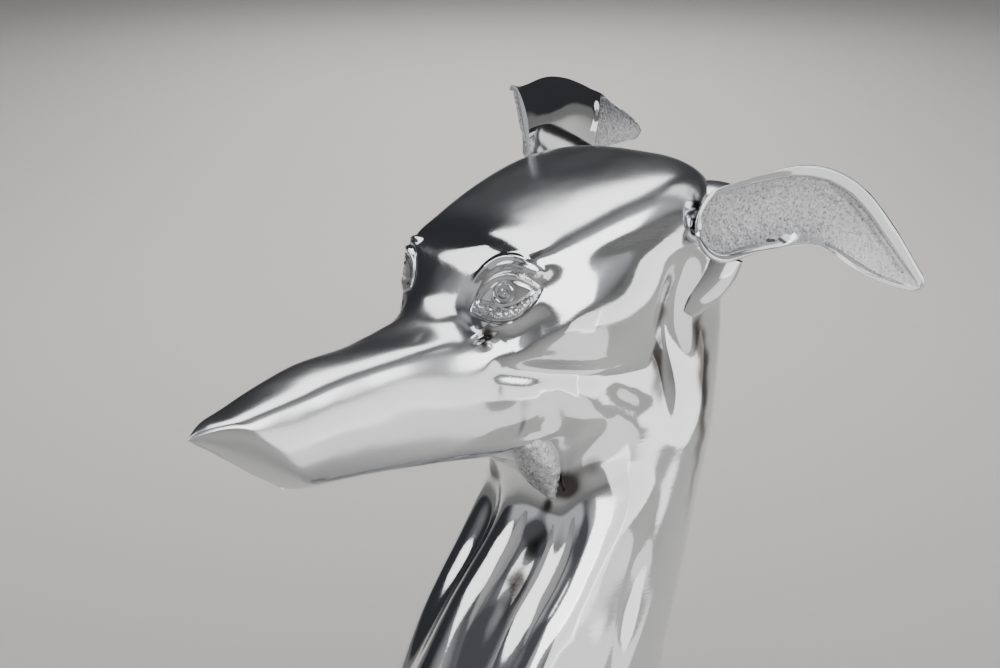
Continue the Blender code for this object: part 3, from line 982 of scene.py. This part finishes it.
@dataclass(frozen=True)
class PolishedAluminium:
    """Sand-cast aluminium, polished on a buffing wheel but for the hollows that the wheel can't reach.

    The wheel leaves a near mirror with faint drawn-out streaks and softer patches. Where the
    attribute as_cast is one, the skin is the matt grey, pitted one that came out of the mould.
    Where satin is one, the streaks are coarser, so highlights spread into soft bands. Where the
    painted shade share is one, shade and dark reflections are painted into the colour as a darkening.
    """

    polished_hex: str = "#EDEEF0"
    cast_hex: str = "#D6D6D8"
    pit_hex: str = "#87878A"
    # Colour of the painted shade and painted dark reflections.
    painted_shade_hex: str = "#5B5856"
    polished_roughness: Pair = (0.03, 0.09)
    satin_roughness: float = 0.13
    streak_roughness: float = 0.05
    cast_roughness: Pair = (0.25, 0.42)
    noise_range: Pair = (0.35, 0.65)
    pit_range: Pair = (0.36, 0.56)
    streak_spacing_mm: float = 0.9
    streak_stretch: float = 14.0
    streak_depth_mm: float = 0.1
    streak_strength: float = 0.10
    patch_size_mm: float = 30.0
    grain_size_mm: float = 0.9
    grain_depth_mm: float = 0.5
    grain_strength: float = 0.9

    def material(self) -> bpy.types.Material:
        """Builds the material.

        Returns:
            The new material.
        """
        material = bpy.data.materials.new("polished sand-cast aluminium")
        tree = Tree(material, "Principled BSDF")
        tree.shader.inputs["Metallic"].default_value = 1.0
        low, high = self.noise_range
        place = tree.add("ShaderNodeTexCoord").outputs["Object"]
        cast = tree.add("ShaderNodeAttribute", {"attribute_name": AS_CAST}).outputs["Fac"]

        patches = tree.add("ShaderNodeTexNoise", Vector=place, Scale=METRE / self.patch_size_mm, Detail=2.0)
        stretch = tree.add("ShaderNodeMapping", Vector=place, Scale=(1 / self.streak_stretch, 1.0, 1.0))
        streaks = tree.add(
            "ShaderNodeTexNoise", Vector=stretch.outputs[0], Scale=METRE / self.streak_spacing_mm, Detail=4.0
        )
        grain = tree.add(
            "ShaderNodeTexNoise", Vector=place, Scale=METRE / self.grain_size_mm, Detail=5.0, Roughness=0.7
        )

        polished = tree.add(
            "ShaderNodeMapRange", Value=patches.outputs[0], From_Min=low, From_Max=high,
            To_Min=self.polished_roughness[0], To_Max=self.polished_roughness[1],
        )
        satin = tree.add("ShaderNodeAttribute", {"attribute_name": SATIN}).outputs["Fac"]
        brushed = tree.add(
            "ShaderNodeMath", {"operation": "MULTIPLY_ADD"},
            _0=satin, _1=self.satin_roughness, _2=polished.outputs[0],
        )
        streaked = tree.add(
            "ShaderNodeMath", {"operation": "MULTIPLY_ADD"},
            _0=streaks.outputs[0], _1=self.streak_roughness, _2=brushed.outputs[0],
        )
        rough = tree.add(
            "ShaderNodeMapRange", Value=grain.outputs[0], From_Min=low, From_Max=high,
            To_Min=self.cast_roughness[0], To_Max=self.cast_roughness[1],
        )
        roughness = tree.add("ShaderNodeMix", Factor=cast, _2=streaked.outputs[0], _3=rough.outputs[0])
        tree.plug("Roughness", roughness.outputs[0])

        pitted = tree.shades(grain.outputs[0], self.pit_range, (self.pit_hex, self.cast_hex))
        # Painted shade and painted dark reflections: the colour darkens towards the painted shade colour
        # where this attribute is one.
        painted_shade = tree.add("ShaderNodeAttribute", {"attribute_name": PAINTED_SHADE}).outputs["Fac"]
        with_painted_shade = tree.add(
            "ShaderNodeMix", {"data_type": "RGBA"},
            _0=painted_shade, _6=linear_colour(self.polished_hex), _7=linear_colour(self.painted_shade_hex),
        )
        colour = tree.add(
            "ShaderNodeMix", {"data_type": "RGBA"}, _0=cast, _6=with_painted_shade.outputs[2], _7=pitted.outputs[0]
        )
        tree.plug("Base Color", colour.outputs[2])

        polish_bump = tree.add(
            "ShaderNodeBump", Height=streaks.outputs[0], Strength=self.streak_strength,
            Distance=self.streak_depth_mm / METRE,
        )
        cast_strength = tree.add(
            "ShaderNodeMath", {"operation": "MULTIPLY"}, _0=cast, _1=self.grain_strength
        )
        cast_bump = tree.add(
            "ShaderNodeBump", Height=grain.outputs[0], Strength=cast_strength.outputs[0],
            Distance=self.grain_depth_mm / METRE, Normal=polish_bump.outputs[0],
        )
        tree.plug("Normal", cast_bump.outputs[0])
        return material


class Lit(Enum):
    """What a soft light is flagged to fall on."""

    METAL = "metal"
    PAPER = "paper"


@dataclass(frozen=True)
class Softbox:
    """A soft light that hangs round the bust and faces it.

    Attributes:
        azimuth: Direction from the bust, in degrees from +X towards +Y.
        elevation: Height of that direction, in degrees.
        distance: Distance from the bust, in metres.
        size: Width and height, in metres.
        power: Power, in watts.
        spread: Widest angle at which light leaves it through its grid, in degrees.
        aim: The place that it faces, in metres.
        falls_on: The metal, or the paper on the floor.
    """

    azimuth: float
    elevation: float
    distance: float
    size: Pair
    power: float
    spread: float = 180.0
    aim: Point = (0.0, 0.0, 0.150)
    falls_on: Lit = Lit.METAL


def direction(azimuth: float, elevation: float) -> Vector:
    """The unit vector at an azimuth and an elevation.

    Args:
        azimuth: Angle from +X towards +Y, in degrees.
        elevation: Angle over the floor, in degrees.

    Returns:
        The vector (cos a cos e, sin a cos e, sin e).
    """
    turn, rise = math.radians(azimuth), math.radians(elevation)
    return Vector((math.cos(turn) * math.cos(rise), math.sin(turn) * math.cos(rise), math.sin(rise)))


@dataclass
class Studio:
    """The pale floor, the soft lights and the camera."""

    camera_azimuth: float = 47.0
    camera_elevation: float = 13.0
    camera_distance: float = 0.8
    lens_mm: float = 90.0
    target: Point = (0.0, 0.0, 0.150)
    floor_hex: str = "#D6D4D0"
    floor_roughness: float = 0.85
    floor_half: float = 40.0
    sky_power: float = 0.35
    sky_angle: float = 60.0
    softboxes: tuple[Softbox, ...] = (
        Softbox(-133.0, 38.9, 1.67, (0.6, 2.4), 8.0, 80.0, (-0.80, -0.86, 0.0), Lit.PAPER),
        Softbox(80.0, 25.0, 2.0, (2.1, 1.15), 26.0),
        Softbox(152.0, 35.0, 2.0, (0.7, 1.2), 3.6),
        Softbox(-52.0, 42.0, 1.8, (1.1, 0.9), 7.0),
        Softbox(50.0, 52.0, 1.8, (0.6, 0.5), 1.6),
        Softbox(-132.0, 68.0, 3.8, (2.6, 2.6), 60.0),
        Softbox(136.0, -9.6, 0.42, (0.34, 0.155), 0.26),
        Softbox(100.0, -11.6, 0.34, (0.18, 0.155), 0.12),
        Softbox(113.0, -29.9, 0.277, (0.24, 0.20), 0.11, 180.0, (-0.094, 0.221, 1.0)),
    )
    lit_side: Pair = (47.0, 8.0)
    lit_range: Pair = (-0.35, 0.45)
    dark_hex: str = "#333336"
    light_hex: str = "#B8B8BA"
    sweep_hex: str = "#747473"
    sweep_heights: Pair = (0.05, 0.13)
    cloud_scale: float = 1.7
    cloud_range: Pair = (0.35, 0.65)
    clouds: Pair = (0.10, 1.25)

    def camera(self) -> None:
        """Puts the camera at the photograph's viewing angle."""
        data = bpy.data.cameras.new("camera")
        data.lens = self.lens_mm
        data.clip_start = 0.01
        camera = placed("camera", data)
        away = direction(self.camera_azimuth, self.camera_elevation)
        camera.location = Vector(self.target) + away * self.camera_distance
        camera.rotation_mode = "QUATERNION"
        camera.rotation_quaternion = (-away).to_track_quat("-Z", "Y")
        bpy.context.scene.camera = camera

    def floor(self) -> None:
        """Lays the plain pale floor."""
        half = self.floor_half
        mesh = bpy.data.meshes.new("floor")
        corners = [(-half, -half, 0.0), (half, -half, 0.0), (half, half, 0.0), (-half, half, 0.0)]
        mesh.from_pydata(corners, [], [(0, 1, 2, 3)])
        floor = placed("floor", mesh)
        # Matt pale paper gives the eye an even ground with soft shadows and no sheen.
        paper = bpy.data.materials.new("matt studio paper")
        shader = Tree(paper, "Principled BSDF").shader
        shader.inputs["Base Color"].default_value = linear_colour(self.floor_hex)
        shader.inputs["Roughness"].default_value = self.floor_roughness
        mesh.materials.append(paper)

    def lights(self) -> None:
        """Hangs the soft lights."""
        for number, box in enumerate(self.softboxes):
            data = bpy.data.lights.new(f"softbox_{number}", "AREA")
            data.shape = "RECTANGLE"
            data.size, data.size_y = box.size
            data.energy = box.power
            data.spread = math.radians(box.spread)
            light = placed(data.name, data)
            light.visible_diffuse = box.falls_on is Lit.PAPER
            light.visible_glossy = box.falls_on is Lit.METAL
            away = direction(box.azimuth, box.elevation)
            light.location = Vector(self.target) + away * box.distance
            light.rotation_mode = "QUATERNION"
            light.rotation_quaternion = (light.location - Vector(box.aim)).to_track_quat("Z", "Y")

    def skylight(self) -> None:
        """Lights the paper evenly and softly from straight above."""
        data = bpy.data.lights.new("skylight", "SUN")
        data.energy = self.sky_power
        data.angle = math.radians(self.sky_angle)
        light = placed(data.name, data)
        light.visible_glossy = False
        light.location = (0.0, 0.0, 3.0)

    def surroundings(self) -> None:
        """Makes the dim room round the lights: lighter behind the camera than behind the bust."""
        world = bpy.data.worlds.new("dim studio")
        tree = Tree(world, "Background")
        place = tree.add("ShaderNodeTexCoord").outputs["Generated"]
        share = tree.add(
            "ShaderNodeVectorMath", {"operation": "DOT_PRODUCT"}, _0=place, _1=direction(*self.lit_side)
        )
        lit = tree.add(
            "ShaderNodeMapRange", {"interpolation_type": "SMOOTHSTEP"}, Value=share.outputs["Value"],
            From_Min=self.lit_range[0], From_Max=self.lit_range[1],
        )
        cloud = tree.add("ShaderNodeTexNoise", Vector=place, Scale=self.cloud_scale, Detail=1.0)
        soft = tree.add(
            "ShaderNodeMapRange", Value=cloud.outputs[0],
            From_Min=self.cloud_range[0], From_Max=self.cloud_range[1],
            To_Min=self.clouds[0], To_Max=self.clouds[1],
        )
        both = tree.add(
            "ShaderNodeMath", {"operation": "MULTIPLY"}, _0=lit.outputs["Result"], _1=soft.outputs["Result"]
        )
        shade = tree.shades(both.outputs[0], (0.0, 1.0), (self.dark_hex, self.light_hex))
        height = tree.add("ShaderNodeSeparateXYZ", Vector=place)
        level = tree.add("ShaderNodeMath", {"operation": "ABSOLUTE"}, _0=height.outputs["Z"])
        near = tree.add(
            "ShaderNodeMapRange", {"interpolation_type": "SMOOTHSTEP"}, Value=level.outputs[0],
            From_Min=self.sweep_heights[0], From_Max=self.sweep_heights[1], To_Min=1.0, To_Max=0.0,
        )
        sweep = tree.add(
            "ShaderNodeMix", {"data_type": "RGBA"},
            _0=near.outputs["Result"], _6=shade.outputs[0], _7=linear_colour(self.sweep_hex),
        )
        tree.plug("Color", sweep.outputs[2])
        bpy.context.scene.world = world

    def build(self) -> None:
        """Sets up the whole studio."""
        self.camera()
        self.floor()
        self.lights()
        self.skylight()
        self.surroundings()


class Bust:
    """The whole casting: head and neck, ears on their roots, and the rough tuft under the jaw."""

    def forms(self) -> list[HeadAndNeck | Ear | Lump]:
        """The forms that the casting is drawn as.

        Returns:
            The forms, in the order in which they are made.
        """
        return [
            HeadAndNeck(),
            Ear(
                Side.LEFT,
                FrontEnd.ROUND,
                spine=((-45.4, 42.8, 183.9), (-52.0, 44.6, 184.5), (-62.0, 47.0, 186.3),
                       (-75.0, 50.2, 188.0), (-88.0, 53.4, 188.6), (-99.5, 56.4, 184.2),
                       (-109.5, 59.0, 174.6), (-121.0, 61.8, 164.6), (-133.5, 64.6, 156.2)),
                facing=((0.55, 0.80, 0.0),) * 5 + ((0.60, 0.76, 0.0),) * 4,
                half_widths=(11.0, 12.0, 11.8, 12.8, 13.8, 12.4, 10.4, 7.4, 2.2),
                half_depths=(1.4, 1.5, 1.8, 2.3, 2.7, 2.5, 2.1, 1.9, 1.5),
                cupping=(1.0, 5.0, 7.0, 7.0, 6.5, 5.0, 3.5, 1.5, 0.3),
            ),
            Ear(
                Side.RIGHT,
                FrontEnd.CUT,
                spine=((-48.0, -42.0, 209.7), (-54.0, -47.0, 208.0), (-61.0, -52.0, 207.1),
                       (-70.0, -56.5, 207.2), (-80.0, -60.5, 207.6), (-92.0, -63.0, 205.6),
                       (-103.0, -63.5, 202.6), (-114.5, -62.5, 199.6), (-127.0, -60.5, 196.0)),
                facing=((0.50, -0.83, -0.25), (0.52, -0.82, -0.15)) + ((0.55, -0.80, 0.0),) * 7,
                half_widths=(12.5, 12.0, 12.5, 13.0, 13.2, 12.6, 11.0, 8.2, 2.2),
                half_depths=(2.3, 2.1, 2.1, 2.3, 2.5, 2.4, 2.1, 1.9, 1.5),
                cupping=(0.6, 3.0, 6.0, 7.0, 6.5, 5.0, 3.5, 1.5, 0.3),
                tip_disc=True,
            ),
            Lump(
                "left_ear_root",
                ((-62.0, 22.0, 167.0), (-62.0, 29.0, 175.0), (-63.5, 35.0, 180.5), (-66.0, 39.0, 184.0)),
                (0.0, -0.85, 0.5), (14.0, 14.0, 13.0, 8.0), (10.0, 9.0, 6.0, 1.0),
            ),
            Lump(
                "left_ear_stem",
                ((-58.0, 28.0, 155.0), (-59.5, 34.0, 161.5), (-61.0, 38.5, 167.5), (-62.0, 41.0, 173.0)),
                (0.5, 0.85, 0.1), (4.0, 6.0, 7.0, 6.0), (4.0, 4.0, 3.5, 2.0),
            ),
            Lump(
                "left_ear_bridge",
                ((-66.0, 22.0, 188.0), (-66.0, 30.0, 190.0), (-66.0, 36.0, 191.0), (-67.0, 41.5, 192.0)),
                (0.0, 0.1, 1.0), (12.0, 11.0, 9.0, 6.0), (7.0, 6.0, 4.0, 1.0), satin=1.0,
            ),
            # The right ear's root has shade painted into its colour.
            Lump(
                "right_ear_root",
                ((-62.0, -20.0, 184.0), (-62.0, -29.0, 192.5), (-64.0, -38.0, 199.0), (-68.0, -47.5, 205.0)),
                (0.0, 0.85, 0.5), (13.0, 15.0, 13.0, 8.0), (11.0, 9.5, 6.5, 1.0), satin=1.0, painted_shade=0.7,
            ),
            Lump(
                "right_ear_foot",
                ((-54.0, -38.0, 193.0), (-52.8, -40.0, 199.0), (-51.0, -41.5, 204.5)),
                (0.6, -0.8, 0.0), (4.0, 3.6, 1.5), (4.5, 3.6, 1.5), as_cast=1.0,
            ),
            Lump(
                "throat_tuft",
                ((7.0, 19.0, 121.0), (1.5, 18.5, 113.0), (-4.0, 17.0, 105.0), (-8.5, 16.0, 96.0)),
                (0.6, 0.8, 0.0), (5.0, 7.5, 5.5, 0.5), (4.0, 5.5, 4.0, 0.5), as_cast=0.75, satin=1.0,
            ),
        ]

    def build(self) -> None:
        """Makes every form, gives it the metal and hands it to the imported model."""
        metal = PolishedAluminium().material()
        for form in self.forms():
            piece = form.build()
            piece.data.materials.append(metal)
            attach(piece, "root")
            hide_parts(NODE)
            LOG.info("%s: %d faces", piece.name, len(piece.data.polygons))


def main() -> None:
    """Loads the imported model, builds the studio and the bust, and notes their sizes."""
    logging.basicConfig(level=logging.INFO, format="%(name)s: %(message)s")
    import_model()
    low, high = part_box(NODE)
    Casting.scale = (high.z - low.z) / DRAWN_HEIGHT
    Studio().build()
    Bust().build()


if __name__ == "__main__":
    main()
